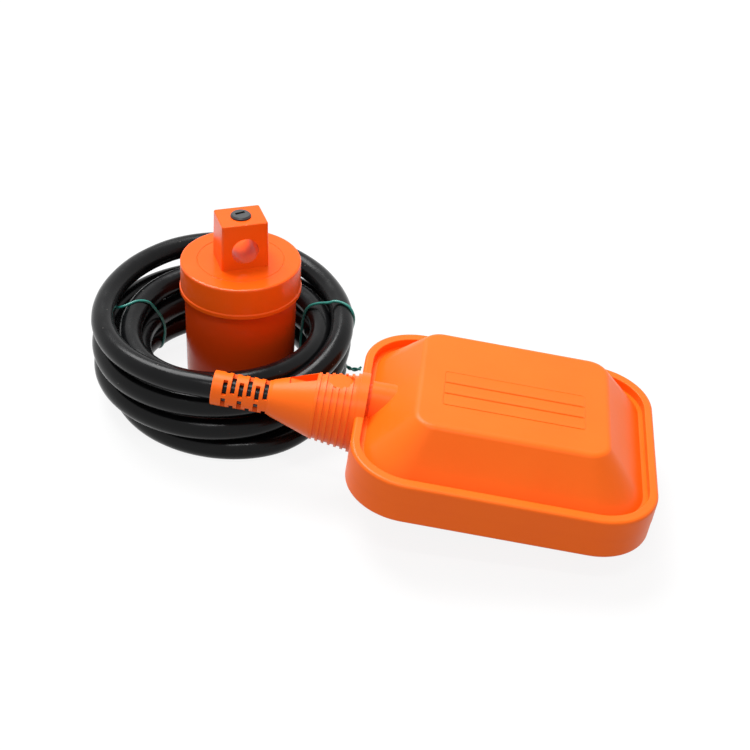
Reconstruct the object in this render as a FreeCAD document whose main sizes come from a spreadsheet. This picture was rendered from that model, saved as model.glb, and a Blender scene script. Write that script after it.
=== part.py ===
"""Float level switch with its cable and counterweight.

A tilting float opens or closes a pump's supply.  The float is two moulded
half shells joined at mid height, with a ribbed neck, cone and slotted boot
for the cable.  Inside, a steel ball rolls along a sealed capsule and lifts
the lever of a microswitch.  The counterweight is a cup and a lid, and the
lid's lug clamps on the cable with a plastic screw.

Frame: millimetres, origin at the centre of the counterweight's base on the
floor, X along the float from neck to far end, Z up.  The float's parts are
drawn about its own centre (neck axis = X) and then placed: the neck end lies
on the coiled cable, so the whole float is tipped by float_tilt.
"""
import FreeCAD
import Part
import math
import os
import Sketcher

V = FreeCAD.Vector
DOC = FreeCAD.newDocument("float_level_switch")

# ---------------------------------------------------------------- sizes
SIZES = [
    ("float_l", 105.0), ("float_w", 90.6), ("float_r", 21.0),      # skirt outline
    ("skirt_h", 7.75), ("rim_w", 3.1), ("rim_side", 4.15), ("moat_d", 3.0), ("moat_w", 1.3),
    ("plate_l", 65.4), ("plate_w", 55.7), ("plate_r", 7.0), ("plate_z", 21.0),
    ("wall", 2.4), ("tongue_h", 1.3), ("collar_r", 14.6),
    ("neck_r", 13.4), ("neck_small_r", 11.5), ("flange_r", 13.9),
    ("boot_r", 6.1), ("cable_r", 4.3), ("bore_r", 4.4),
    ("spigot_r", 10.0), ("spigot_hole_r", 10.06),
    ("slot_w", 1.6), ("slot_pitch", 2.85),
    ("float_x", 101.5), ("float_y", -52.9), ("float_z", 24.32), ("float_tilt", 6.0),
    ("capsule_h", 14.0), ("ball_r", 6.5), ("ball_travel", 36.3),
    ("case_w", 6.4), ("lever_droop", 6.0),
    ("body_low_r", 20.3), ("body_top_r", 20.9), ("body_h", 53.0),
    ("cap_z", 43.65), ("cap_h", 12.45), ("cap_r", 22.3), ("lip_r", 22.65),
    ("lug_w", 17.4), ("lug_d", 14.2), ("lug_h", 18.0), ("lug_turn", 23.3),
    ("lug_hole_r", 5.04), ("lug_hole_z", 7.2), ("screw_r", 3.74), ("screw_proud", 1.0),
    ("ring_x", -5.5), ("ring_y", -4.0), ("tie_r", 0.55),
]
SHEET = DOC.addObject("Spreadsheet::Sheet", "sizes")
for row, (alias, number) in enumerate(SIZES, start=1):
    SHEET.set("A%d" % row, alias)
    SHEET.set("B%d" % row, str(number))
    SHEET.setAlias("B%d" % row, alias)
DOC.recompute()
PARTS = []


def size(alias):
    return float(SHEET.get(alias))


# ---------------------------------------------------------------- helpers
def new_body(label):
    body = DOC.addObject("PartDesign::Body", label)
    body.Label = label
    PARTS.append(body)
    return body


def sketch(body, role, offset=0.0):
    """A sketch on one of the body's origin planes, moved along its normal."""
    found = [f for f in body.Origin.OriginFeatures if f.Role == role][0]
    item = body.newObject("Sketcher::SketchObject", "sketch")
    item.AttachmentSupport = [(found, "")]
    item.MapMode = "FlatFace"
    item.AttachmentOffset = FreeCAD.Placement(V(0, 0, offset), FreeCAD.Rotation())
    return item


def polygon(item, points):
    for i, a in enumerate(points):
        b = points[(i + 1) % len(points)]
        item.addGeometry(Part.LineSegment(V(a[0], a[1], 0), V(b[0], b[1], 0)), False)


def circle(item, x, y, r):
    index = item.addGeometry(Part.Circle(V(x, y, 0), V(0, 0, 1), r), False)
    return index


def rounded(item, length, width, r, x=0.0, y=0.0):
    """A rounded rectangle about (x, y)."""
    a, b = length / 2 - r, width / 2 - r
    corners = [(a, b, 0), (-a, b, 90), (-a, -b, 180), (a, -b, 270)]
    ends = []
    for cx, cy, start in corners:
        ring = Part.Circle(V(x + cx, y + cy, 0), V(0, 0, 1), r)
        t0, t1 = math.radians(start), math.radians(start + 90)
        item.addGeometry(Part.ArcOfCircle(ring, t0, t1), False)
        ends.append((V(x + cx + r * math.cos(t0), y + cy + r * math.sin(t0), 0),
                     V(x + cx + r * math.cos(t1), y + cy + r * math.sin(t1), 0)))
    for i in range(4):
        item.addGeometry(Part.LineSegment(ends[i][1], ends[(i + 1) % 4][0]), False)


def pad(body, item, length, down=False, both=False):
    feature = body.newObject("PartDesign::Pad", "pad")
    feature.Profile = item
    if isinstance(length, str):
        feature.setExpression("Length", length)
    else:
        feature.Length = length
    feature.Reversed = down
    feature.Midplane = both
    DOC.recompute()
    return feature


def pocket(body, item, length, up=False, both=False):
    """Cuts against the sketch's normal, or along it with up=True."""
    feature = body.newObject("PartDesign::Pocket", "pocket")
    feature.Profile = item
    if isinstance(length, str):
        feature.setExpression("Length", length)
    else:
        feature.Length = length
    feature.Reversed = up
    feature.Midplane = both
    DOC.recompute()
    return feature


def loft(body, low, high, cut=False):
    kind = "PartDesign::SubtractiveLoft" if cut else "PartDesign::AdditiveLoft"
    feature = body.newObject(kind, "loft")
    feature.Profile = low
    feature.Sections = [high]
    feature.Ruled = True
    DOC.recompute()
    return feature


def revolve(body, item, cut=False):
    """A full turn about the sketch's horizontal axis."""
    kind = "PartDesign::Groove" if cut else "PartDesign::Revolution"
    feature = body.newObject(kind, "turned")
    feature.Profile = item
    feature.ReferenceAxis = (item, ["H_Axis"])
    feature.Angle = 360.0
    DOC.recompute()
    return feature


def revolve_up(body, item):
    """A full turn about the sketch's vertical axis."""
    feature = body.newObject("PartDesign::Revolution", "turned")
    feature.Profile = item
    feature.ReferenceAxis = (item, ["V_Axis"])
    feature.Angle = 360.0
    DOC.recompute()
    return feature


def fillet(body, radius, test):
    """Rounds every edge of the tip for which test(edge) is true."""
    base = body.Tip
    names = ["Edge%d" % (i + 1) for i, e in enumerate(base.Shape.Edges) if test(e)]
    feature = body.newObject("PartDesign::Fillet", "fillet")
    feature.Base = (base, names)
    feature.Radius = radius
    DOC.recompute()
    return feature


def level(edge, z):
    box = edge.BoundBox
    return abs(box.ZMin - z) < 0.01 and abs(box.ZMax - z) < 0.01


def place_on_float(item, flipped=False):
    """Puts a part drawn about the float's centre where the float lies."""
    turn = FreeCAD.Rotation(V(1, 0, 0), 180.0 if flipped else 0.0)
    lie = FreeCAD.Rotation(V(0, 1, 0), size("float_tilt"))
    item.Placement = FreeCAD.Placement(
        V(size("float_x"), size("float_y"), size("float_z")), lie.multiply(turn))


def solid(label, shape):
    """A part made straight from a shape, for forms that no sketch fits."""
    item = DOC.addObject("Part::Feature", label)
    item.Label = label
    item.Shape = shape
    PARTS.append(item)
    return item


def route(points, report=None):
    """Straight runs joined by tangent arcs: 0.45 of the shorter run each side."""
    points = [V(*p) for p in points]
    edges, at = [], points[0]
    for before, here, after in zip(points, points[1:], points[2:]):
        a, b = (before - here), (after - here)
        run = min(a.Length, b.Length)
        turn = math.pi - a.getAngle(b)
        back = 0.45 * run
        radius = back / math.tan(turn / 2)
        start = here + V(a).normalize() * back
        end = here + V(b).normalize() * back
        centre_way = (V(a).normalize() + V(b).normalize()).normalize()
        middle = here + centre_way * (radius / math.cos(turn / 2) - radius)
        edges.append(Part.LineSegment(at, start).toShape())
        edges.append(Part.Arc(start, middle, end).toShape())
        at = end
        if report:
            print(report, "turn %.0f deg, radius %.1f" % (math.degrees(turn), radius))
    edges.append(Part.LineSegment(at, points[-1]).toShape())
    return Part.Wire(edges)


def tube(points, r, report=None):
    path = route(points, report)
    along = path.Edges[0].tangentAt(0)
    ring = Part.Wire(Part.makeCircle(r, V(*points[0]), along))
    made = path.makePipeShell([ring], True, True)
    if report:
        print(report, "volume / (section x length) = %.4f"
              % (made.Volume / (math.pi * r * r * path.Length)), "length %.1f" % path.Length)
    return made


# ---------------------------------------------------------------- float shells
def shell(label, upper):
    """Half of the float: skirt, sunk moat, and a raised plate on sloping walls."""
    length, width, r = size("float_l"), size("float_w"), size("float_r")
    rim, side, moat = size("rim_w"), size("rim_side"), size("moat_w")
    high, wall, top = size("skirt_h"), size("wall"), size("plate_z")
    floor = high - size("moat_d")
    foot_l, foot_w = length - 2 * (rim + moat), width - 2 * (side + moat)
    shy = 0.0 if upper else 0.2                 # the lower half stands back at the seam
    body = new_body(label)
    outline = sketch(body, "XY_Plane")
    rounded(outline, length - shy, width - shy, r)
    pad(body, outline, "sizes.skirt_h")
    fillet(body, 1.2, lambda e: level(e, high))
    sunk = sketch(body, "XY_Plane", high)
    rounded(sunk, length - 2 * rim, width - 2 * side, r - rim)
    pocket(body, sunk, "sizes.moat_d")
    fillet(body, 0.35, lambda e: level(e, high) and e.BoundBox.XMax < length / 2 - rim + 0.1
           and e.BoundBox.XMin > rim - length / 2 - 0.1 and e.BoundBox.YMax < width / 2 - side + 0.1
           and e.BoundBox.YMin > side - width / 2 - 0.1)
    foot = sketch(body, "XY_Plane", floor - 0.4)
    rounded(foot, foot_l, foot_w, r - rim - moat)
    plate = sketch(body, "XY_Plane", top)
    rounded(plate, size("plate_l"), size("plate_w"), size("plate_r"))
    loft(body, foot, plate)
    fillet(body, 2.6, lambda e: level(e, top))
    # a half round collar stands on the rim; behind a groove an arched boss runs
    # from it into the slope
    collar = sketch(body, "YZ_Plane", -length / 2)
    ring = Part.Circle(V(0, 0, 0), V(0, 0, 1), size("collar_r"))
    collar.addGeometry(Part.ArcOfCircle(ring, 0.0, math.pi), False)
    collar.addGeometry(Part.LineSegment(V(-size("collar_r"), 0, 0), V(size("collar_r"), 0, 0)), False)
    pad(body, collar, "sizes.rim_w")
    for at, half_w, tall, run in ((rim, 7.6, 12.2, 3.0), (rim + 1.2, 8.8, 13.6, 9.8)):
        arch = sketch(body, "YZ_Plane", at - length / 2)
        bow = Part.Ellipse(V(0, 0, 0), tall, half_w)
        bow.rotate(FreeCAD.Placement(V(0, 0, 0), FreeCAD.Rotation(V(0, 0, 1), 90)))
        arch.addGeometry(Part.ArcOfEllipse(bow, -math.pi / 2, math.pi / 2), False)
        arch.addGeometry(Part.LineSegment(V(-half_w, 0, 0), V(half_w, 0, 0)), False)
        pad(body, arch, run)
    # hollow inside, the same wall all round
    low = sketch(body, "XY_Plane", floor - wall)
    rounded(low, foot_l - 2 * wall, foot_w - 2 * wall, r - rim - moat - wall)
    roof = sketch(body, "XY_Plane", top - wall)
    rounded(roof, size("plate_l") - 2 * wall, size("plate_w") - 2 * wall, size("plate_r") - 1.5)
    loft(body, low, roof, cut=True)
    base = sketch(body, "XY_Plane")
    rounded(base, length - 2 * rim, width - 2 * rim, r - rim)
    pocket(body, base, floor - wall, up=True)
    # tongue on the upper half, groove in the lower
    play = 0.0 if upper else 0.06
    step = sketch(body, "XY_Plane")
    rounded(step, length - 1.8 + 2 * play, width - 1.8 + 2 * play, r - 0.9 + play)
    rounded(step, length - 4.2 - 2 * play, width - 4.2 - 2 * play, r - 2.1 - play)
    if upper:
        pad(body, step, "sizes.tongue_h", down=True)
    else:
        pocket(body, step, size("tongue_h") + play, up=True)
    entry = sketch(body, "YZ_Plane", -length / 2 - 1)
    circle(entry, 0, 0, size("spigot_hole_r"))
    pocket(body, entry, 3.7, up=True)
    passage = sketch(body, "YZ_Plane", -length / 2 - 1)
    circle(passage, 0, 0, 6.6)
    pocket(body, passage, 15.0, up=True)
    place_on_float(body, flipped=not upper)
    return body


# ---------------------------------------------------------------- neck
def neck_moulding():
    """Ribbed neck, cone and boot, turned as one profile, then slotted."""
    end = -size("float_l") / 2
    big, small, boot = size("neck_r"), size("neck_small_r"), size("boot_r")
    cone, mouth, slim = end - 14.8, end - 30.7, end - 50.7
    body = new_body("neck_moulding")
    profile = sketch(body, "XY_Plane")
    outer = [(end + 2.6, size("spigot_r")), (end - 0.02, size("spigot_r")),
             (end - 0.02, size("flange_r")), (end - 1.1, size("flange_r"))]
    ribs, pitch = 6, 2.27
    for i in range(ribs):                       # narrow ridges, wide grooves
        x = end - 1.1 - i * pitch
        taper = big - (big - small) * (i / float(ribs))
        outer += [(x, taper - 0.4), (x - 1.27, taper - 0.5),
                  (x - 1.32, taper + 0.05), (x - pitch, taper - 0.1)]
    outer += [(cone, small), (mouth + 1.0, boot + 0.4), (mouth, boot - 0.15), (slim + 4.0, boot),
              (slim + 0.3, boot), (slim, boot - 0.3)]
    inner = [(slim, size("bore_r")), (end - 11.6, size("bore_r")), (end - 11.6, 8.0), (end + 2.6, 8.0)]
    polygon(profile, outer + inner)
    revolve(body, profile)
    # slotted rings: windows in neighbouring rings are a quarter turn apart
    rings = (((-60, 4), (15, 68), (108, 166), (180, 245)), ((23, 145), (205, 335)))
    for k, windows in enumerate(rings):
        item = sketch(body, "YZ_Plane", slim + 3.8 + k * size("slot_pitch"))
        for a, b in windows:                    # angles from the front (-Y) towards the top
            window(item, a, b, size("bore_r") - 0.6, boot + 2.0)
        cut = pocket(body, item, "sizes.slot_w", up=True)
        repeat = body.newObject("PartDesign::LinearPattern", "rings")
        repeat.Originals = [cut]
        repeat.Direction = ([f for f in body.Origin.OriginFeatures if f.Role == "X_Axis"][0], [""])
        repeat.Length = 4 * size("slot_pitch")
        repeat.Occurrences = 3
        body.Tip = repeat
        DOC.recompute()
    # cored pocket in the cone's shoulder with a block, and a round flat on the ribs
    shoulder = sketch(body, "XY_Plane", 6.6)
    rounded(shoulder, 9.4, 5.6, 0.6, cone - 4.9, 1.9)
    pocket(body, shoulder, 8.0, up=True)
    block = sketch(body, "XY_Plane", 6.2)
    polygon(block, [(cone - 5.7, -1.3), (cone - 3.5, -1.3), (cone - 3.5, 0.8), (cone - 5.7, 0.8)])
    pad(body, block, 2.7)
    flat = sketch(body, "XY_Plane", 11.75)
    circle(flat, end - 6.7, 0.6, 4.3)
    pocket(body, flat, 3.0, up=True)
    disc = sketch(body, "XY_Plane", 9.6)
    circle(disc, end - 6.7, 0.6, 4.3)
    pad(body, disc, 2.15)
    place_on_float(body)
    return body


def window(item, a, b, inner, outer):
    """An annular sector seen along X: angle 0 faces -Y, 90 is the top."""
    def at(angle, r):
        t = math.radians(180.0 - angle)
        return V(r * math.cos(t), r * math.sin(t), 0)

    t0, t1 = math.radians(180.0 - b), math.radians(180.0 - a)
    for r in (inner, outer):
        ring = Part.Circle(V(0, 0, 0), V(0, 0, 1), r)
        item.addGeometry(Part.ArcOfCircle(ring, t0, t1), False)
    item.addGeometry(Part.LineSegment(at(a, inner), at(a, outer)), False)
    item.addGeometry(Part.LineSegment(at(b, inner), at(b, outer)), False)


def seal_grommet():
    """Rubber ring with two lips that seals the cable in the neck."""
    start = -size("float_l") / 2 - 11.5
    body = new_body("seal_grommet")
    item = sketch(body, "XY_Plane")
    polygon(item, [(start, 4.34), (start, 7.95), (start + 1.6, 7.95), (start + 2.2, 7.3),
                   (start + 3.4, 7.3), (start + 4.0, 7.95), (start + 5.6, 7.95), (start + 5.6, 4.34)])
    revolve(body, item)
    place_on_float(body)


def cord_clamp():
    """Split collar that anchors the sheath against a pull."""
    start = -size("float_l") / 2 - 5.7
    body = new_body("cord_clamp")
    item = sketch(body, "XY_Plane")
    polygon(item, [(start, 4.34), (start, 7.2), (start + 0.8, 7.9), (start + 5.0, 7.9),
                   (start + 5.8, 7.2), (start + 5.8, 4.34)])
    revolve(body, item)
    gap = sketch(body, "YZ_Plane", start - 1)
    polygon(gap, [(-0.6, 3.0), (0.6, 3.0), (0.6, 9.0), (-0.6, 9.0)])
    pocket(body, gap, 8.0, up=True)
    place_on_float(body)


# ---------------------------------------------------------------- capsule and switch
def capsule_base():
    """Sealed tray with the ball's two rails and its stop."""
    high = size("capsule_h")
    body = new_body("capsule_base")
    outline = sketch(body, "XY_Plane", -high)
    rounded(outline, 61.0, 40.0, 4.0, -2.5)
    pad(body, outline, 2 * high - 2.0)
    hollow = sketch(body, "XY_Plane", high - 2.0)
    rounded(hollow, 57.0, 36.0, 2.5, -2.5)
    pocket(body, hollow, 2 * high - 4.0)
    rails = sketch(body, "XY_Plane", -high + 2.0)
    for side in (-1, 1):
        a, b = side * (size("ball_r") + 0.4), side * (size("ball_r") + 2.0)
        polygon(rails, [(-25.6, a), (26.2, a), (26.2, b), (-25.6, b)])
    pad(body, rails, 7.0)
    stop = sketch(body, "XY_Plane", -high + 2.0)
    polygon(stop, [(-25.6, -8.0), (-23.6, -8.0), (-23.6, 8.0), (-25.6, 8.0)])
    pad(body, stop, 9.0)
    holes = sketch(body, "YZ_Plane", -34.0)
    for z in core_heights():
        circle(holes, 0, z, 1.16)
    pocket(body, holes, 4.0, up=True)
    place_on_float(body)


def capsule_lid():
    """Cover with the two cheeks that carry the microswitch."""
    high = size("capsule_h")
    body = new_body("capsule_lid")
    outline = sketch(body, "XY_Plane", high - 2.0)
    rounded(outline, 61.0, 40.0, 4.0, -2.5)
    pad(body, outline, 2.0)
    locate = sketch(body, "XY_Plane", high - 2.0)
    rounded(locate, 56.9, 35.9, 2.45, -2.5)
    rounded(locate, 53.5, 32.5, 1.5, -2.5)
    pad(body, locate, 1.2, down=True)
    cheeks = sketch(body, "XY_Plane", high - 2.0)
    for side in (-1, 1):
        a, b = side * (size("case_w") / 2 + 0.05), side * (size("case_w") / 2 + 1.8)
        polygon(cheeks, [(-22.0, a), (-8.0, a), (-8.0, b), (-22.0, b)])
    pad(body, cheeks, 6.4, down=True)
    pins = sketch(body, "XZ_Plane")
    for x in (-19.0, -11.0):
        circle(pins, x, 8.0, 1.13)
    pocket(body, pins, 14.0, both=True)
    place_on_float(body)


def core_heights():
    return (4.8, 7.2, 9.6)


def switch_case():
    """Microswitch body with the ears of its lever and the plunger's bore."""
    half = size("case_w") / 2
    body = new_body("switch_case")
    side = sketch(body, "XZ_Plane")
    polygon(side, [(-24.0, 3.8), (-4.0, 3.8), (-4.0, 11.4), (-4.6, 11.95), (-23.4, 11.95), (-24.0, 11.4)])
    pad(body, side, "sizes.case_w", both=True)
    for way in (-1, 1):
        ear = sketch(body, "XZ_Plane", way * (half - 0.35))
        polygon(ear, [(-7.6, 4.2), (-7.6, 1.9), (-7.0, 1.4), (-5.0, 1.4), (-4.4, 1.9), (-4.4, 4.2)])
        pad(body, ear, 0.7, both=True)
    pin = sketch(body, "XZ_Plane")
    circle(pin, -6.0, 2.5, 0.55)
    pocket(body, pin, 10.0, both=True)
    pins = sketch(body, "XZ_Plane")
    for x in (-19.0, -11.0):
        circle(pins, x, 8.0, 1.13)
    pocket(body, pins, 14.0, both=True)
    bore = sketch(body, "XY_Plane", 3.0)
    circle(bore, -13.5, 0, 0.86)
    pocket(body, bore, 5.0, up=True)
    slots = sketch(body, "YZ_Plane", -24.5)
    for z in core_heights():
        polygon(slots, [(-1.53, z - 0.28), (1.53, z - 0.28), (1.53, z + 0.28), (-1.53, z + 0.28)])
    pocket(body, slots, 3.5, up=True)
    place_on_float(body)


def switch_plunger():
    body = new_body("switch_plunger")
    item = sketch(body, "XY_Plane", 1.22)
    circle(item, -13.5, 0, 0.8)
    pad(body, item, 5.6)
    fillet(body, 0.35, lambda e: level(e, 1.22))
    place_on_float(body)


def switch_lever():
    """Leaf on a rolled eye, drawn as it droops with the ball away."""
    body = new_body("switch_lever")
    eye = sketch(body, "XZ_Plane")
    circle(eye, 0, 0, 1.15)
    circle(eye, 0, 0, 0.56)
    pad(body, eye, 4.8, both=True)
    leaf = sketch(body, "XY_Plane", -1.1)
    polygon(leaf, [(-0.8, -1.9), (-16.2, -1.9), (-16.6, -1.5), (-16.6, 1.5), (-16.2, 1.9), (-0.8, 1.9)])
    pad(body, leaf, 0.35)
    droop = FreeCAD.Rotation(V(0, 1, 0), -size("lever_droop"))
    lie = FreeCAD.Rotation(V(0, 1, 0), size("float_tilt"))
    pivot = lie.multVec(V(-6.0, 0, 2.5))
    body.Placement = FreeCAD.Placement(
        V(size("float_x"), size("float_y"), size("float_z")) + pivot, lie.multiply(droop))


def round_pin(label, places, r, length):
    """Pins across the float (along Y), as one node."""
    body = new_body(label)
    item = sketch(body, "XZ_Plane")
    for x, z in places:
        circle(item, x, z, r)
    pad(body, item, length, both=True)
    place_on_float(body)


def terminals():
    made = [Part.makeBox(7.4, 3.0, 0.5, V(-28.4, -1.5, z - 0.25)) for z in core_heights()]
    place_on_float(solid("terminals", Part.makeCompound(made)))


def steel_ball():
    centre = V(19.3, 0, -size("capsule_h") + 2.0 + size("ball_r") + 0.05)
    ball = solid("steel_ball", Part.makeSphere(size("ball_r"), centre))
    place_on_float(ball)


def cores():
    """Three insulated cores from the sheath's end to the solder tabs."""
    for label, start, z, lag in zip(("core_common", "core_closed", "core_open"),
                                    (-2.35, 0.0, 2.35), core_heights(), (0.95, 0.0, -0.95)):
        path = [(-46.8, 0, start), (-43.0 + lag, 0, start), (-35.8 + lag, 0, z), (-28.5, 0, z)]
        place_on_float(solid(label, tube(path, 1.1)))


# ---------------------------------------------------------------- counterweight
def weight_body():
    """Moulded cup, slightly tapered, with a ring cored out of its base."""
    low, high, tall = size("body_low_r"), size("body_top_r"), size("body_h")
    body = new_body("weight_body")
    item = sketch(body, "XZ_Plane")
    polygon(item, [(0, 0), (13.0, 0), (13.6, 0.8), (16.0, 0.8), (16.6, 0), (low - 0.8, 0), (low, 0.8),
                   (high, size("cap_z") - 0.4), (high, tall), (high - 2.4, tall), (high - 2.4, 3.4),
                   (0, 3.4)])
    revolve_up(body, item)


def ballast_slug():
    r = size("body_top_r") - 2.5
    body = new_body("ballast_slug")
    item = sketch(body, "XZ_Plane")
    polygon(item, [(0, 3.45), (r - 1.0, 3.45), (r, 4.45), (r, 48.6), (r - 1.0, 49.6), (0, 49.6)])
    revolve_up(body, item)


def weight_cap():
    """Lid with a beaded lip, a faint ring and the lug with its cross hole."""
    low, r = size("cap_z"), size("cap_r")
    top = low + size("cap_h")
    skirt = size("body_top_r") + 0.06
    body = new_body("weight_cap")
    item = sketch(body, "XZ_Plane")
    lip = size("lip_r")
    polygon(item, [(skirt, low + 0.5), (skirt + 0.5, low), (lip - 0.4, low), (lip, low + 0.4),
                   (lip, low + 1.7), (r, low + 2.1), (r, top - 0.7), (r - 0.2, top - 0.2),
                   (r - 0.7, top), (16.25, top), (16.1, top - 0.18), (15.9, top - 0.18),
                   (15.75, top), (0, top), (0, top - 3.0), (skirt, top - 3.0)])
    revolve_up(body, item)
    lug = sketch(body, "XY_Plane", top - 0.5)
    rounded(lug, size("lug_w") + 0.3, size("lug_d") + 0.3, 0.9)
    tip = sketch(body, "XY_Plane", top + size("lug_h"))
    rounded(tip, size("lug_w") - 0.3, size("lug_d") - 0.3, 0.8)
    loft(body, lug, tip)
    cross = sketch(body, "XZ_Plane")
    circle(cross, 0, top + size("lug_hole_z"), size("lug_hole_r"))
    pocket(body, cross, 30.0, both=True)
    fillet(body, 0.4, lambda e: abs(e.BoundBox.ZMax - e.BoundBox.ZMin - 2 * size("lug_hole_r")) < 0.1
           and abs(e.BoundBox.XMax - size("lug_hole_r")) < 0.1)
    hole = sketch(body, "XY_Plane", top + size("lug_h"))
    circle(hole, 0, 0, size("screw_r") + 0.06)
    pocket(body, hole, size("lug_h") - size("lug_hole_z"))
    fillet(body, 0.45, lambda e: level(e, top + size("lug_h")) and e.Length > 5
           and e.BoundBox.YLength != e.BoundBox.XLength)
    body.Placement = FreeCAD.Placement(V(0, 0, 0), FreeCAD.Rotation(V(0, 0, 1), size("lug_turn")))


def clamp_screw():
    """Black slotted grub screw, just proud of the lug."""
    top = size("cap_z") + size("cap_h") + size("lug_h") + size("screw_proud")
    r = size("screw_r")
    body = new_body("clamp_screw")
    item = sketch(body, "XZ_Plane")
    polygon(item, [(0, top - 5.8), (r - 0.9, top - 5.8), (r, top - 5.0), (r, top - 0.5),
                   (r - 0.5, top), (0, top)])
    revolve_up(body, item)
    slot = sketch(body, "XY_Plane", top)
    rounded(slot, 3.8, 1.2, 0.25, 0.0, 0.6)
    pocket(body, slot, 1.8)
    body.Placement = FreeCAD.Placement(V(0, 0, 0), FreeCAD.Rotation(V(0, 0, 1), 36.0))


# ---------------------------------------------------------------- cable
def lead_points():
    """Cable axis from the clamp in the neck to the coil, in the row frame."""
    lie = FreeCAD.Rotation(V(0, 1, 0), size("float_tilt"))
    base = V(size("float_x"), size("float_y"), size("float_z"))
    inside = base + lie.multVec(V(-46.9, 0, 0))
    outside = base + lie.multVec(V(-116.0, 0, 0))
    return [tuple(inside), tuple(outside), (-42.0, -34.2, 36.2), (-53.0, -6.4, 35.2)]


def cable_lead():
    solid("cable_lead", tube(lead_points(), size("cable_r"), "cable_lead"))


def neck_room():
    """Room round the neck, open upwards, cut from the coil's solid."""
    end = -size("float_l") / 2
    profile = [(end, 0), (end, 15.0), (end - 15.2, 13.8), (end - 30.9, 7.4),
               (end - 51.6, 7.0), (end - 51.6, 0)]
    face = Part.Face(Part.makePolygon([V(x, r, 0) for x, r in profile] + [V(end, 0, 0)]))
    turned = face.revolve(V(0, 0, 0), V(1, 0, 0), 360)
    above = Part.Face(Part.makePolygon(
        [V(x, s * r, 0) for s, side in ((1, profile), (-1, profile[::-1])) for x, r in side
         if r > 0] + [V(end, 15.0, 0)])).extrude(V(0, 0, 30))
    made = turned.fuse(above)
    made.Placement = FreeCAD.Placement(
        V(size("float_x"), size("float_y"), size("float_z")),
        FreeCAD.Rotation(V(0, 1, 0), size("float_tilt")))
    return made


def cable_coil():
    """Outer form of the eight loose turns, clear of the neck and the weight."""
    profile = [(31.6, 0), (48.0, 0), (50.4, 3.0), (51.1, 12.0), (51.1, 35.0), (49.4, 38.6), (45.6, 39.6),
               (42.4, 38.0), (38.6, 33.6), (33.4, 31.6), (29.6, 26.0), (28.7, 18.0), (29.6, 4.0)]
    axis = V(size("ring_x"), size("ring_y"), 0)
    face = Part.Face(Part.makePolygon([axis + V(r, 0, z) for r, z in profile + profile[:1]]))
    ring = face.revolve(axis, V(0, 0, 1), 360)
    # the top turn leaves for the neck: the lead's tube takes over from there
    step = Part.Face(Part.makePolygon([axis + V(r, 0, z) for r, z in
                                       ((41.6, 30.4), (55, 30.4), (55, 45), (41.6, 45), (41.6, 30.4))]))
    step = step.revolve(axis, V(0, 0, 1), 112)
    step.rotate(axis, V(0, 0, 1), -152)
    solid("cable_coil", ring.cut(step).cut(neck_room()).removeSplitter())


def tie(label, angle):
    """Twist tie round the coil's section at one place."""
    a = math.radians(angle)
    axis = V(size("ring_x"), size("ring_y"), 0)
    out = V(math.cos(a), math.sin(a), 0)
    loop = [(27.4, 20.0), (28.0, 29.0), (32.4, 34.6), (40.4, 39.6), (46.4, 41.7), (51.6, 40.4), (52.8, 33.0)]
    path = [tuple(axis + out * r + V(0, 0, z)) for r, z in loop]
    solid(label, tube(path, size("tie_r")))


def bare_cores():
    """Stripped ends of the cable, behind the counterweight on the coil."""
    for i, side in enumerate((-3.5, -0.9, 1.7)):
        path = [(-16.0, 30.4 + side, 30.9), (-8.5, 32.2 + side, 35.3),
                (2.0, 31.6 + 0.9 * side, 35.5), (11.0, 28.6 + 0.9 * side, 35.5)]
        solid("bare_core_%d" % (i + 1), tube(path, 1.1))


# ---------------------------------------------------------------- build
def check_and_write():
    DOC.recompute()
    os.makedirs("parts", exist_ok=True)
    for item in DOC.Objects:
        if "Invalid" in item.State or "Error" in item.State:
            raise RuntimeError("%s (%s) did not recompute" % (item.Label, item.Name))
    for item in PARTS:
        shape = item.Shape
        if shape.isNull() or not shape.isValid() or not shape.Solids:
            raise RuntimeError("%s has no valid solid" % item.Label)
        print("%-20s %8.1f mm3, %d faces" % (item.Label, shape.Volume, len(shape.Faces)))
        shape.exportStep("parts/%s.step" % item.Label)


shell("float_shell_top", True)
shell("float_shell_bottom", False)
neck_moulding()
seal_grommet()
cord_clamp()
capsule_base()
capsule_lid()
switch_case()
switch_plunger()
switch_lever()
round_pin("lever_pin", [(-6.0, 2.5)], 0.5, 6.3)
round_pin("switch_pins", [(-19.0, 8.0), (-11.0, 8.0)], 1.1, 9.6)
terminals()
steel_ball()
cores()
weight_body()
ballast_slug()
weight_cap()
clamp_screw()
cable_lead()
cable_coil()
tie("tie_left", 150.0)
tie("tie_right", 12.0)
bare_cores()
check_and_write()
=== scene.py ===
import math

import bmesh
import bpy
from mathutils import Matrix, Vector


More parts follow.
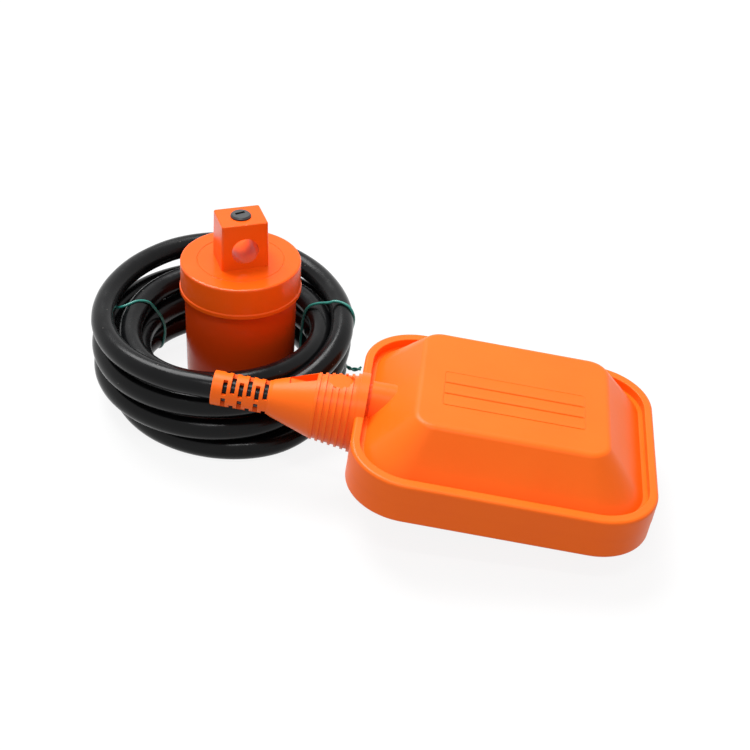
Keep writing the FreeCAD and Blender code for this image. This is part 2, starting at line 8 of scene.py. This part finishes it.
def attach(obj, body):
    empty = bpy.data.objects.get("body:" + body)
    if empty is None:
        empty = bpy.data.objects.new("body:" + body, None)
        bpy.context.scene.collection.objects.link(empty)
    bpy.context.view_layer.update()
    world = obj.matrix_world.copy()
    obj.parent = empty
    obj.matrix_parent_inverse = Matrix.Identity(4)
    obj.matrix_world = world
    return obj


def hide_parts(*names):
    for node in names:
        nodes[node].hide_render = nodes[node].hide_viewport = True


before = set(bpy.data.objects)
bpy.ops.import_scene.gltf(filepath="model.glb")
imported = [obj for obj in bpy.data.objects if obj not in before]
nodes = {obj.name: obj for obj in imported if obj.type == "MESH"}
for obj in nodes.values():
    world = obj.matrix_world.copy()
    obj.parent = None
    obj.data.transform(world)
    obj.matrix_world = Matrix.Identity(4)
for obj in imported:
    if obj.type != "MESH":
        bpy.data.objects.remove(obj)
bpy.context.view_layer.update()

# ---------------------------------------------------------------- camera
# A studio camera on a tripod with a short telephoto lens. It looks down on the
# switch from the front at about 35 degrees, and leans over by 3 degrees.
CAMERA_PLACE = (0.08401, -0.50718, 0.36415)
HEADING, DOWN, LEAN = (math.radians(degrees) for degrees in (3.608, 34.894, 3.334))
camera_data = bpy.data.cameras.new("camera")
camera_data.sensor_width = 36.0
camera_data.lens = 77.52
camera_data.clip_start = 0.01
camera_data.clip_end = 20.0
camera = bpy.data.objects.new("camera", camera_data)
camera.matrix_world = (
    Matrix.Translation(CAMERA_PLACE)
    @ Matrix.Rotation(HEADING, 4, "Z")
    @ Matrix.Rotation(math.pi / 2 - DOWN, 4, "X")
    @ Matrix.Rotation(LEAN, 4, "Z")
)
bpy.context.scene.collection.objects.link(camera)
bpy.context.scene.camera = camera

# ---------------------------------------------------------------- cable
# Three-core cable in a round black rubber-like PVC sheath, 8.6 mm thick. It leaves
# the float through the slotted boot and lies as its maker ships it: six and a half
# loose turns in two stacks round the counterweight, the last one ending behind it.
CABLE = 0.0086
FLOAT_TILT = math.radians(6.0)          # the float lies on the lower plate's far edge
float_place = Matrix.Translation((0.1015, -0.0529, 0.02432)) @ Matrix.Rotation(FLOAT_TILT, 4, "Y")
CLAMP, CONE, MOUTH = -0.0469, -0.0746, -0.1032    # along the float's axis: clamp, cone, boot's end


def on_float(x, y=0.0, z=0.0):
    """A point given in the float's own axes, in metres, on the tipped float."""
    return float_place @ Vector((x, y, z))


# The turns from the top one at the boot to the last one inside, in mm and degrees:
# middle, radius, height, (how oval, which way), (how three-cornered, which way), and
# at what share of the turn the cable leaves for the next one and how long that takes.
TURNS = [
    ((-5.8, -3.1), 46.8, 35.2, (2.6, -80), (1.0, -25), (0.75, 0.21)),
    ((-6.5, -4.3), 44.9, 24.5, (0.7, 84), (0.5, 0), (0.72, 0.22)),
    ((-6.9, -3.4), 44.5, 13.9, (1.2, 88), (0.2, 60), (0.745, 0.22)),
    ((-0.6, -1.6), 44.9, 4.35, (0.3, -89), (0.4, 30), (0.40, 0.30)),
    ((-5.0, -4.6), 34.0, 10.8, (0.5, 20), (0.3, 10), (0.40, 0.24)),
    ((-3.2, -3.6), 34.0, 20.2, (0.6, -30), (0.3, 80), (0.40, 0.24)),
    ((-5.0, -5.6), 36.8, 29.5, (1.35, -90), (0.8, -4), (9.0, 0.2)),
]
STEPS = 16                              # points to a turn
START = math.radians(-83.5)             # where the first turn is counted from, at the boot's mouth
WOUND = 6.38                            # turns in all
SPLINE_SHARE = 0.981                    # the spline's radius, as a share of its ring of points
TOP_FALL = 2.0                          # how far the top turn comes down on its right side


def smooth(a, b, x):
    """Goes gently from 0 to 1 while x goes from a to b."""
    t = min(1.0, max(0.0, (x - a) / (b - a)))
    return t * t * (3 - 2 * t)


def turn_point(index, angle, out=0.0, up=0.0):
    """Where the cable's middle is on one of the turns, at an angle seen from above, or
    a place so far out and up from there."""
    (x, y), radius, height, oval, corners, _ = TURNS[index]
    radius += oval[0] * math.cos(2 * (angle - math.radians(oval[1])))
    radius += corners[0] * math.cos(3 * (angle - math.radians(corners[1])))
    if index == 0:
        height -= TOP_FALL * smooth(-0.5, 0.9, math.cos(angle))
    radius += out
    return Vector((x + radius * math.cos(angle), y + radius * math.sin(angle), height + up)) / 1000


cable_route = [on_float(-0.0745), on_float(-0.089), on_float(-0.1045)]
for i in range(1, int(WOUND * STEPS) + 1):
    angle = START - math.tau * i / STEPS
    turn, share = divmod(i / STEPS, 1.0)
    turn = int(turn)
    spare = TURNS[turn][1] * (1 / SPLINE_SHARE - 1)
    here = turn_point(turn, angle, spare)
    if turn + 1 < len(TURNS):
        leave, takes = TURNS[turn][5]
        here = here.lerp(turn_point(turn + 1, angle, spare), smooth(leave, leave + takes, share))
    cable_route.append(here)
cable_route += [Vector((-0.0222, 0.0292, 0.0303)), Vector((-0.0150, 0.0298, 0.0312))]


def nurbs(name, points, thickness, sides=6, steps=8):
    """A round wire of one open spline along its points."""
    data = bpy.data.curves.new(name, "CURVE")
    data.dimensions = "3D"
    data.bevel_depth = 1.0              # times each point's radius
    data.bevel_resolution = sides
    data.use_fill_caps = True
    data.resolution_u = steps
    spline = data.splines.new("NURBS")
    spline.points.add(len(points) - 1)
    for point, place in zip(spline.points, points):
        point.co = (*place, 1.0)
        point.radius = thickness / 2
    spline.order_u = 3
    spline.use_endpoint_u = True
    piece = bpy.data.objects.new(name, data)
    bpy.context.scene.collection.objects.link(piece)
    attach(piece, "switch")
    return piece


cable = nurbs("cable", cable_route, CABLE, sides=10)
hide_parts("cable_lead", "cable_coil")
cable_in_neck = nurbs("cable_in_neck", [on_float(x) for x in (CLAMP, -0.0600, CONE)], CABLE)


def linear(hex_colour):
    """An sRGB hex colour as the linear colour that a shader takes."""
    parts = [int(hex_colour[i:i + 2], 16) / 255 for i in (1, 3, 5)]
    return (*[p / 12.92 if p <= 0.04045 else ((p + 0.055) / 1.055) ** 2.4 for p in parts], 1.0)


def new_material(name, colour, roughness, **sockets):
    """A material, its Principled shader and its object coordinates."""
    material = bpy.data.materials.new(name)
    material.use_nodes = True
    shader = material.node_tree.nodes["Principled BSDF"]
    shader.inputs["Base Color"].default_value = linear(colour)
    shader.inputs["Roughness"].default_value = roughness
    for socket, value in sockets.items():
        shader.inputs[socket.replace("_", " ")].default_value = value
    place = add_node(material, "ShaderNodeTexCoord").outputs["Object"]
    return material, shader, place


def add_node(material, kind, inputs=None, feeds=None, **settings):
    """Adds one node with its settings and inputs, and links it to the sockets it feeds."""
    tree = material.node_tree
    node = tree.nodes.new(kind)
    for name, value in settings.items():
        setattr(node, name, value)
    for name, value in (inputs or {}).items():
        if isinstance(value, bpy.types.NodeSocket):
            tree.links.new(value, node.inputs[name])
        else:
            node.inputs[name].default_value = value
    for name, socket in (feeds or {}).items():
        tree.links.new(node.outputs[name], socket)
    return node


def per_metre(size):
    """A pattern's scale, for patches so many mm across."""
    return 1000 / size


def paint(material, *pieces):
    """Gives each piece, or CAD node by name, one material all over."""
    for piece in pieces:
        data = nodes[piece].data if isinstance(piece, str) else piece.data
        data.materials.clear()
        data.materials.append(material)


# black PVC, extruded: a satin skin, duller where it has been rubbed, with a fine grain
# drawn at 1.1 mm so that it shows, and a few specks of dust half a millimetre across
sheath, shader, place = new_material("pvc_sheath_extruded", "#0A0B0C", 0.22, Specular_IOR_Level=0.16)
rub = add_node(sheath, "ShaderNodeTexNoise", {"Vector": place, "Scale": per_metre(7.14), "Detail": 4.0})
tone = add_node(sheath, "ShaderNodeMix",
                {0: rub.outputs["Fac"], 6: linear("#060607"), 7: linear("#0F1011")}, data_type="RGBA")
dust = add_node(sheath, "ShaderNodeTexVoronoi", {"Vector": place, "Scale": per_metre(6.25)})
speck = add_node(sheath, "ShaderNodeMapRange",
                 {"Value": dust.outputs["Distance"], "From Min": 0.03, "From Max": 0.05,
                  "To Min": 0.25, "To Max": 0.0})
add_node(sheath, "ShaderNodeMix", {0: speck.outputs["Result"], 6: tone.outputs[2], 7: linear("#8E8A84")},
         {2: shader.inputs["Base Color"]}, data_type="RGBA")
add_node(sheath, "ShaderNodeMapRange",
         {"Value": rub.outputs["Fac"], "From Min": 0.3, "From Max": 0.7, "To Min": 0.15, "To Max": 0.30},
         {"Result": shader.inputs["Roughness"]})
grain = add_node(sheath, "ShaderNodeTexNoise", {"Vector": place, "Scale": per_metre(1.11), "Detail": 2.0})
add_node(sheath, "ShaderNodeBump", {"Height": grain.outputs["Fac"], "Strength": 0.10, "Distance": 0.0002},
         {"Normal": shader.inputs["Normal"]})
paint(sheath, cable, cable_in_neck)

# ---------------------------------------------------------------- stripped cores
# Three insulated cores, 2.2 mm thick, bared for the installer where the sheath
# ends: brown, blue, and green with a yellow stripe, each with twisted copper strands.
# Each row: node, colour, and how far to the back the core lies.
CORES = (
    ("bare_core_1", "#4A2A1A", -0.0035),
    ("bare_core_2", "#1F4FA0", -0.0009),
    ("bare_core_3", "#2F7A36", 0.0017),
)
CORE_END = Vector((0.0110, 0.0286, 0.0355))    # where the copper would start on a core at 0
core_way = Vector((0.9487, -0.3162, 0.0))
core_across = Vector((0.3162, 0.9487, 0.0))
STRANDS = 6
STRAND = 0.00044                        # thickness
STRAND_RING = 0.00042                   # from the core's middle to a strand's
SPLAY = 0.00005                         # how much wider the ring gets with each step
STRAND_STEP = 0.0012                    # from one of a strand's points to the next
LAY = 0.42                              # how far it winds round in that step, in radians
copper, shader, place = new_material("copper_wire_drawn", "#B87333", 0.3, Metallic=1.0)
drawn = add_node(copper, "ShaderNodeTexNoise", {"Vector": place, "Scale": per_metre(0.4), "Detail": 2.0})
add_node(copper, "ShaderNodeMix", {0: drawn.outputs["Fac"], 6: linear("#A8602A"), 7: linear("#D08A4C")},
         {2: shader.inputs["Base Color"]}, data_type="RGBA")
core_ends = []
for name, colour, side in CORES:
    insulation, shader, place = new_material("pvc_core_insulation_" + name[-1], colour, 0.42)
    cloud = add_node(insulation, "ShaderNodeTexNoise",
                     {"Vector": place, "Scale": per_metre(2.0), "Detail": 2.0})
    add_node(insulation, "ShaderNodeMapRange",
             {"Value": cloud.outputs["Fac"], "To Min": 0.34, "To Max": 0.5},
             {"Result": shader.inputs["Roughness"]})
    if name == "bare_core_3":           # a yellow stripe winds round the green one
        stripe = add_node(insulation, "ShaderNodeTexWave", {"Vector": place, "Scale": per_metre(11.1)},
                          bands_direction="DIAGONAL")
        edge = add_node(insulation, "ShaderNodeMapRange",
                        {"Value": stripe.outputs["Fac"], "From Min": 0.46, "From Max": 0.54})
        add_node(insulation, "ShaderNodeMix",
                 {0: edge.outputs["Result"], 6: linear(colour), 7: linear("#E0C020")},
                 {2: shader.inputs["Base Color"]}, data_type="RGBA")
    paint(insulation, name)
    start = CORE_END + Vector((0, 0.9 * side, 0))
    for strand in range(STRANDS):
        points = []
        for step in range(6):           # the strands open a little towards their ends
            turned = math.tau * strand / STRANDS + step * LAY
            out = core_across * math.cos(turned) + Vector((0, 0, 1)) * math.sin(turned)
            along = core_way * (step * STRAND_STEP - 0.0002)
            points.append(start + along + out * (STRAND_RING + SPLAY * step))
        core_ends.append(nurbs("%s_strand_%d" % (name, strand + 1), points, STRAND, sides=2, steps=3))
paint(copper, *core_ends)

# ---------------------------------------------------------------- ties
# Two lengths of green PVC-coated wire, 1 mm thick, hold the turns together. Each
# goes once round the stack and is twisted shut low down on the outside.
TIE = 0.00100
TWISTED_END = 0.00085                   # thinner, where the coating is drawn tight
APART = 0.00045                         # from an end's middle to the line that both wind round
# Each point is beside a turn: the turn, the direction in degrees, and how far out and
# up it is from the cable's middle there, in mm.
LEFT_TIE = [
    (0, 179, 0.0, -4.9), (0, 182, -4.6, -2.6),
    (6, 177, 3.0, 4.0), (6, 172, 0.0, 4.7), (6, 167, -3.7, 3.3), (6, 163, -4.9, -0.5),
    (5, 158, -4.9, -0.5), (4, 155, -4.9, -0.5), (4, 154, -2.0, -4.8),
    (3, 154, -4.6, -0.6), (3, 156, -2.4, -3.6), (3, 160, 2.4, -3.6), (3, 165, 4.9, 0.0),
    (2, 170, 4.9, 0.0), (1, 174, 4.9, 0.0), (1, 177, 2.6, 4.6), (0, 179, 0.0, -4.9),
]
RIGHT_TIE = [
    (2, 24, 0.0, -6.4), (4, 26, -1.5, -4.9), (4, 27, -4.9, 0.0), (5, 28, -4.9, 0.0),
    (6, 26, -4.9, 0.0), (6, 23, -3.4, 4.4), (6, 20, 0.0, 6.2), (6, 16, 3.4, 7.6),
    (0, 12, -2.4, 4.9), (0, 10, 1.0, 4.8), (0, 8, 3.7, 3.4), (0, 6, 4.9, 0.0),
    (1, 13, 4.9, 0.6), (2, 19, 4.9, 0.0), (2, 22, 3.6, -4.6), (2, 24, 0.0, -6.4),
]
# where the twisted ends start, bend and stop, in mm
TAILS = {
    "tie_left": ((-55.4, -1.6, 11.0), (-56.2, 1.6, 12.0), (-55.8, 6.0, 12.4)),
    "tie_right": ((39.6, 5.6, 9.4), (42.6, 1.2, 9.4), (46.2, 2.4, 10.4)),
}
coated_wire, shader, place = new_material("pvc_coated_tie_wire", "#1F7A6E", 0.34)
cloud = add_node(coated_wire, "ShaderNodeTexNoise",
                 {"Vector": place, "Scale": per_metre(2.38), "Detail": 3.0})
add_node(coated_wire, "ShaderNodeMix",
         {0: cloud.outputs["Fac"], 6: linear("#1B6F66"), 7: linear("#2A9184")},
         {2: shader.inputs["Base Color"]}, data_type="RGBA")
ties = []
for name, loop in (("tie_left", LEFT_TIE), ("tie_right", RIGHT_TIE)):
    points = [turn_point(turn, math.radians(angle), out, up) for turn, angle, out, up in loop]
    tie = nurbs(name + "_wire", points, TIE, sides=4, steps=6)
    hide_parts(name)
    ties.append(tie)
    root, bend, tip = [Vector(p) / 1000 for p in TAILS[name]]
    for end in (0, 1):                  # the two ends wind round each other
        points = []
        for step in range(9):
            share = step / 8
            here = root.lerp(bend, share).lerp(bend.lerp(tip, share), share)
            # looser towards the tips, one of which stands off
            turned = math.pi * end + 2.2 * math.tau * share * (1 - 0.3 * share)
            spread = APART * (1 + (share > 0.9) * end)
            points.append(here + Vector((0.2, math.cos(turned), math.sin(turned))) * spread)
        ties.append(nurbs("%s_end_%d" % (name, end + 1), points, TWISTED_END, sides=4, steps=4))
paint(coated_wire, *ties)

# ---------------------------------------------------------------- float
# Two half shells of orange polypropylene, injection moulded in the same tool and
# welded round the rim. The skin is satin, with a fine spark-eroded grain, and each
# plate has three bare raised frames where the ratings would go.
orange, shader, place = new_material("orange_polypropylene_moulded", "#FB6A13", 0.38, IOR=1.49,
                                     Specular_IOR_Level=0.20)
cloud = add_node(orange, "ShaderNodeTexNoise", {"Vector": place, "Scale": per_metre(22.2), "Detail": 3.0})
add_node(orange, "ShaderNodeMix", {0: cloud.outputs["Fac"], 6: linear("#F9650F"), 7: linear("#FD6E16")},
         {2: shader.inputs["Base Color"]}, data_type="RGBA")
add_node(orange, "ShaderNodeMapRange",
         {"Value": cloud.outputs["Fac"], "From Min": 0.3, "From Max": 0.7, "To Min": 0.32, "To Max": 0.42},
         {"Result": shader.inputs["Roughness"]})
# the grain of the tool is a tenth of a millimetre, drawn at 1.1 mm so that it shows
grain = add_node(orange, "ShaderNodeTexNoise", {"Vector": place, "Scale": per_metre(1.11), "Detail": 2.0})
add_node(orange, "ShaderNodeBump", {"Height": grain.outputs["Fac"], "Strength": 0.12, "Distance": 0.0002},
         {"Normal": shader.inputs["Normal"]})
paint(orange, "float_shell_top", "float_shell_bottom", "neck_moulding")

FRAMES = ((-0.00192, 0.00472), (-0.00822, -0.00148), (-0.01462, -0.00778))    # near and far edges
FRAME_LENGTH = 0.0487
FRAME_CORNER = 0.0011
LINE = 0.00042                          # how wide a raised line is
LINE_HEIGHT = 0.36 * LINE
UNDER_PLATE = 0.0208                    # where a frame starts, a little below the plate's skin
SUNK = 0.0002                           # how far that is below it
for half, turned in (("top", 0.0), ("bottom", math.pi)):
    lines = bmesh.new()
    for number, (near, far) in enumerate(FRAMES):
        before = set(lines.verts)
        sheet = Matrix.Translation((0, (near + far) / 2, UNDER_PLATE))
        sheet = sheet @ Matrix.Diagonal((FRAME_LENGTH, far - near, 1, 1))
        bmesh.ops.create_grid(lines, x_segments=1, y_segments=1, size=0.5, matrix=sheet)
        corners = [v for v in lines.verts if v not in before]
        bmesh.ops.bevel(lines, geom=corners, offset=FRAME_CORNER, offset_type="OFFSET", segments=5,
                        profile=0.5, affect="VERTICES", material=-1)
        field = [f for f in lines.faces if not before.intersection(f.verts)]
        slab = bmesh.ops.extrude_face_region(lines, geom=field, use_keep_orig=True)["geom"]
        roof = [g for g in slab if isinstance(g, bmesh.types.BMFace)]
        step = 0.00001 * number         # so that no two frames' tops lie in one plane
        bmesh.ops.translate(lines, verts=[g for g in slab if isinstance(g, bmesh.types.BMVert)],
                            vec=(0, 0, SUNK + LINE_HEIGHT + step))
        bmesh.ops.inset_region(lines, faces=roof, thickness=LINE, use_even_offset=True)
        inner = {v for f in roof for v in f.verts}
        bmesh.ops.translate(lines, verts=list(inner), vec=(0, 0, -LINE))
    bmesh.ops.recalc_face_normals(lines, faces=lines.faces)
    bmesh.ops.transform(lines, verts=lines.verts, matrix=float_place @ Matrix.Rotation(turned, 4, "X"))
    mesh = bpy.data.meshes.new("label_frames_" + half)
    lines.to_mesh(mesh)
    lines.free()
    frames = bpy.data.objects.new("label_frames_" + half, mesh)
    bpy.context.scene.collection.objects.link(frames)
    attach(frames, "switch")
    paint(orange, frames)

# ---------------------------------------------------------------- counterweight
# A cup and a lid of the same plastic, moulded in a polished tool, so they shine
# more than the float. The cup's colours are darker and redder than the lid's: painted shade, for the shade
# that the lid's overhang and the coil throw on it.
for name, node, colour, lighter in (
    ("polished_polypropylene_lid", "weight_cap", "#F4560C", "#F86012"),
    # the cup's darker, redder colours are painted shade, from the lid and the coil
    ("polished_polypropylene_cup", "weight_body", "#E6420A", "#EC4B10"),
):
    gloss, shader, place = new_material(name, colour, 0.2, IOR=1.49, Specular_IOR_Level=0.17)
    cloud = add_node(gloss, "ShaderNodeTexNoise", {"Vector": place, "Scale": per_metre(20), "Detail": 3.0})
    add_node(gloss, "ShaderNodeMix", {0: cloud.outputs["Fac"], 6: linear(colour), 7: linear(lighter)},
             {2: shader.inputs["Base Color"]}, data_type="RGBA")
    add_node(gloss, "ShaderNodeMapRange",
             {"Value": cloud.outputs["Fac"], "From Min": 0.3, "From Max": 0.7,
              "To Min": 0.16, "To Max": 0.26},
             {"Result": shader.inputs["Roughness"]})
    # shallow sink marks, about a centimetre apart
    sink = add_node(gloss, "ShaderNodeTexNoise", {"Vector": place, "Scale": per_metre(11.1), "Detail": 1.0})
    add_node(gloss, "ShaderNodeBump", {"Height": sink.outputs["Fac"], "Strength": 0.10, "Distance": 0.001},
             {"Normal": shader.inputs["Normal"]})
    paint(gloss, node)

# ---------------------------------------------------------------- clamp screw
# A grub screw of black glass-filled nylon with a moulded slot, screwed into the lug to
# grip the cable. It is dull, with pale flecks of fibre.
nylon, shader, place = new_material("black_nylon_glass_filled", "#1B1C1E", 0.4)
fleck = add_node(nylon, "ShaderNodeTexNoise", {"Vector": place, "Scale": per_metre(0.556), "Detail": 3.0})
add_node(nylon, "ShaderNodeMix", {0: fleck.outputs["Fac"], 6: linear("#141516"), 7: linear("#2E3033")},
         {2: shader.inputs["Base Color"]}, data_type="RGBA")
add_node(nylon, "ShaderNodeBump", {"Height": fleck.outputs["Fac"], "Strength": 0.15, "Distance": 0.0001},
         {"Normal": shader.inputs["Normal"]})
paint(nylon, "clamp_screw")

# ---------------------------------------------------------------- inside
# What the shells hide: the sealed capsule with its switch, ball and cores, the cord
# clamp and seal in the neck, and the iron slug in the counterweight.
# Each row: material, darker and lighter colour, roughness, metallic, nodes.
INSIDE = [
    ("white_abs_moulded", "#E6E3DA", "#F0EEE6", 0.4, 0.0, ["capsule_base", "capsule_lid"]),
    ("natural_nylon_moulded", "#D9D2BD", "#E6E0CE", 0.45, 0.0, ["cord_clamp"]),
    ("nitrile_rubber_moulded", "#1A1A1B", "#28282A", 0.7, 0.0, ["seal_grommet"]),
    ("black_phenolic_pressed", "#1C1A19", "#2A2725", 0.5, 0.0, ["switch_case"]),
    ("white_acetal_turned", "#EDEBE4", "#F5F4EF", 0.35, 0.0, ["switch_plunger"]),
    ("spring_steel_rolled", "#A9A79F", "#C4C2BA", 0.32, 1.0, ["switch_lever", "lever_pin", "switch_pins"]),
    ("tinned_brass_stamped", "#BDB8A4", "#D3CFBE", 0.35, 1.0, ["terminals"]),
    ("ball_steel_ground", "#B8B8B6", "#CFCFCC", 0.12, 1.0, ["steel_ball"]),
    ("iron_slug_cast", "#3C3A38", "#5A5653", 0.7, 1.0, ["ballast_slug"]),
    ("brown_core_pvc", "#4A2A1A", "#5A3420", 0.42, 0.0, ["core_common"]),
    ("blue_core_pvc", "#1F4FA0", "#2A5CB0", 0.42, 0.0, ["core_closed"]),
    ("green_core_pvc", "#2F7A36", "#3B8A42", 0.42, 0.0, ["core_open"]),
]
for name, dark, light, dull, metal, pieces in INSIDE:
    stuff, shader, place = new_material(name, dark, dull, Metallic=metal)
    cloud = add_node(stuff, "ShaderNodeTexNoise", {"Vector": place, "Scale": per_metre(2.5), "Detail": 4.0})
    add_node(stuff, "ShaderNodeMix", {0: cloud.outputs["Fac"], 6: linear(dark), 7: linear(light)},
             {2: shader.inputs["Base Color"]}, data_type="RGBA")
    add_node(stuff, "ShaderNodeMapRange",
             {"Value": cloud.outputs["Fac"], "From Min": 0.3, "From Max": 0.7,
              "To Min": dull - 0.05, "To Max": dull + 0.08},
             {"Result": shader.inputs["Roughness"]})
    paint(stuff, *pieces)

# ---------------------------------------------------------------- studio
# A white table top that runs on as the backdrop, a large soft lamp overhead and
# behind on the left, and a narrow one over the camera.
FLOOR_GLOW = 0.88                       # the rest is the lit paper, which keeps the shadow
ROOM_LIGHT = 0.50                       # the room's light on the object
bpy.ops.mesh.primitive_plane_add(size=6.0, location=(0, 0, 0))
table_top = bpy.context.object
table_top.name = "table_top"


def seen_as_background(owner):
    """1 for what is seen straight, in a reflection or through glass, and 0 for light
    that falls on the object."""
    ray = add_node(owner, "ShaderNodeLightPath").outputs
    seen = add_node(owner, "ShaderNodeMath", {0: ray["Is Camera Ray"], 1: ray["Is Glossy Ray"]},
                    operation="MAXIMUM")
    seen = add_node(owner, "ShaderNodeMath", {0: seen.outputs[0], 1: ray["Is Transmission Ray"]},
                    operation="MAXIMUM")
    return seen.outputs[0]


# uncoated white paper: matt, and greyer in what it throws back than it looks
paper, shader, place = new_material("white_paper", "#F4F4F4", 0.9)
seen = seen_as_background(paper)
add_node(paper, "ShaderNodeMix", {0: seen, 6: linear("#A6A6A6"), 7: linear("#F4F4F4")},
         {2: shader.inputs["Base Color"]}, data_type="RGBA")
shine = add_node(paper, "ShaderNodeEmission", {"Color": linear("#FFFFFF"), "Strength": 1.0})
share = add_node(paper, "ShaderNodeMath", {0: seen, 1: FLOOR_GLOW}, operation="MULTIPLY")
add_node(paper, "ShaderNodeMixShader", {0: share.outputs[0], 1: shader.outputs[0], 2: shine.outputs[0]},
         {0: paper.node_tree.nodes["Material Output"].inputs["Surface"]})
paint(paper, table_top)

world = bpy.data.worlds.new("studio")
bpy.context.scene.world = world
world.use_nodes = True
background = world.node_tree.nodes["Background"]
background.inputs["Color"].default_value = linear("#FFFFFF")
add_node(world, "ShaderNodeMapRange",
         {"Value": seen_as_background(world), "To Min": ROOM_LIGHT, "To Max": 1.0},
         {"Result": background.inputs["Strength"]})


def soft_lamp(name, place, target, size, watts):
    """A rectangular lamp at one place that faces another."""
    data = bpy.data.lights.new(name, "AREA")
    data.shape = "RECTANGLE"
    data.size, data.size_y = size
    data.energy = watts
    lamp = bpy.data.objects.new(name, data)
    lamp.location = place
    lamp.rotation_mode = "QUATERNION"
    lamp.rotation_quaternion = (Vector(place) - Vector(target)).to_track_quat("Z", "Y")
    bpy.context.scene.collection.objects.link(lamp)


soft_lamp("key_lamp", place=(-0.28, 0.42, 1.1), target=(0.05, -0.03, 0.02), size=(0.7, 0.7), watts=19.0)
soft_lamp("strip_lamp", place=(0.0, -0.50, 0.95), target=(0.0, -0.03, 0.02), size=(0.45, 0.02), watts=2.2)

bpy.context.scene.view_settings.view_transform = "Standard"
